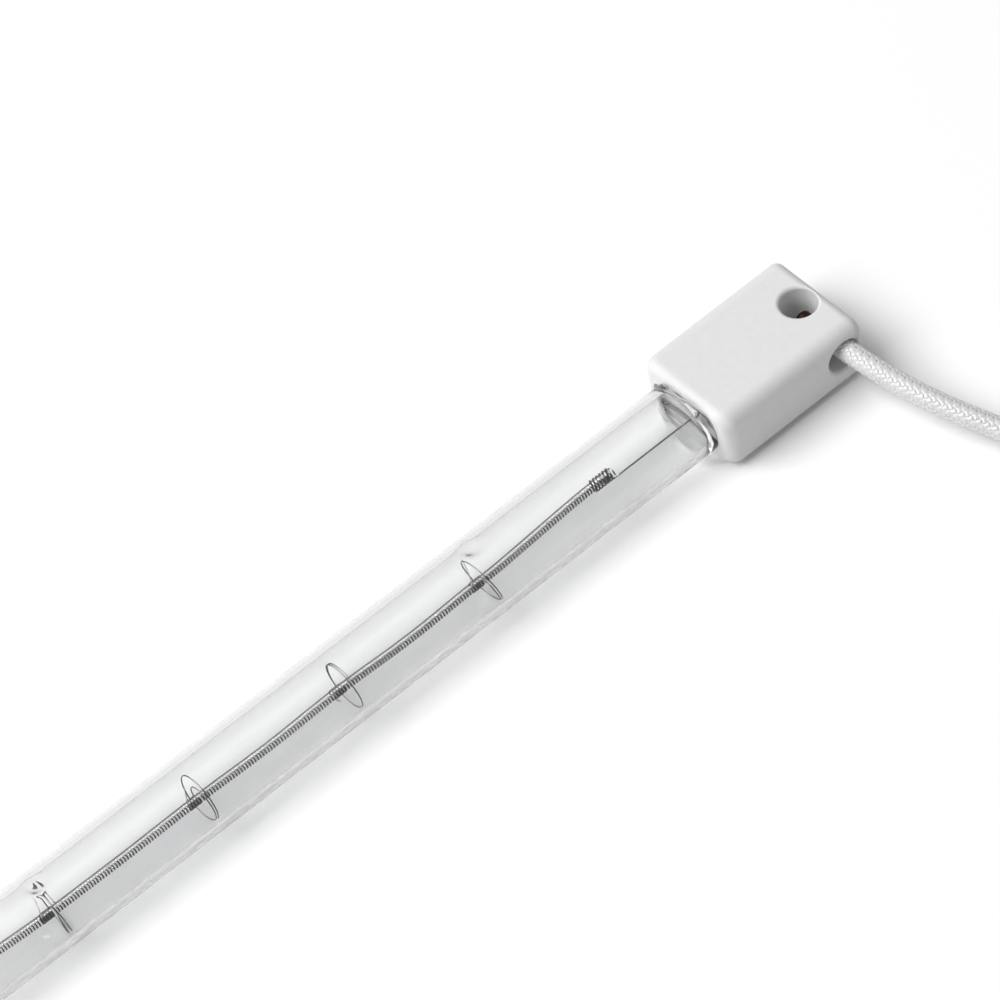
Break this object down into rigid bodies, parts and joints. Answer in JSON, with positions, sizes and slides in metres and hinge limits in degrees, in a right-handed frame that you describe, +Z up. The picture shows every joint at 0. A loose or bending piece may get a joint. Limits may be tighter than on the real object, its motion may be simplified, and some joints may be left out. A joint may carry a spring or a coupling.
{
  "type": "quartz heating tube",
  "caption": "Straight sealed quartz tube with a coiled tungsten filament on wire rings, flat ceramic end caps and a braided lead; radiates heat.",
  "frame": {"origin": "on the resting plane, midway between the two caps along the tube and across their width", "axes": "+X along the tube towards the cap with the lead, +Z up out of the caps' round-shouldered side"},
  "size_m": [0.2163, 0.0629, 0.01],
  "materials": {
    "quartz": "clear, fire polished",
    "ceramic": "matt, fired",
    "tungsten": "drawn wire, close wound",
    "support_wire": "drawn wire",
    "molybdenum": "drawn wire and rolled foil",
    "cement": "matt, cast",
    "copper_crimp": "tarnished",
    "glass_braid": "varnished glass-fibre braid",
    "tie": "moulded",
    "nickel": "plated"
  },
  "bodies": {
    "root": {"quartz_tube": "quartz", "ceramic_cap_a": "ceramic", "ceramic_cap_b": "ceramic", "filament": "tungsten", "support_01": "support_wire", "support_02": "support_wire", "support_03": "support_wire", "support_04": "support_wire", "coil_connector_a": "molybdenum", "coil_connector_b": "molybdenum", "seal_foil_a": "molybdenum", "seal_foil_b": "molybdenum", "outer_pin_a": "molybdenum", "outer_pin_b": "molybdenum", "cap_cement_a": "cement", "cap_cement_b": "cement", "lead_crimp": "copper_crimp", "lead_wire": "glass_braid", "lead_coil": "glass_braid", "coil_tie": "tie", "lead_ferrule": "nickel"}
  },
  "joints": []
}
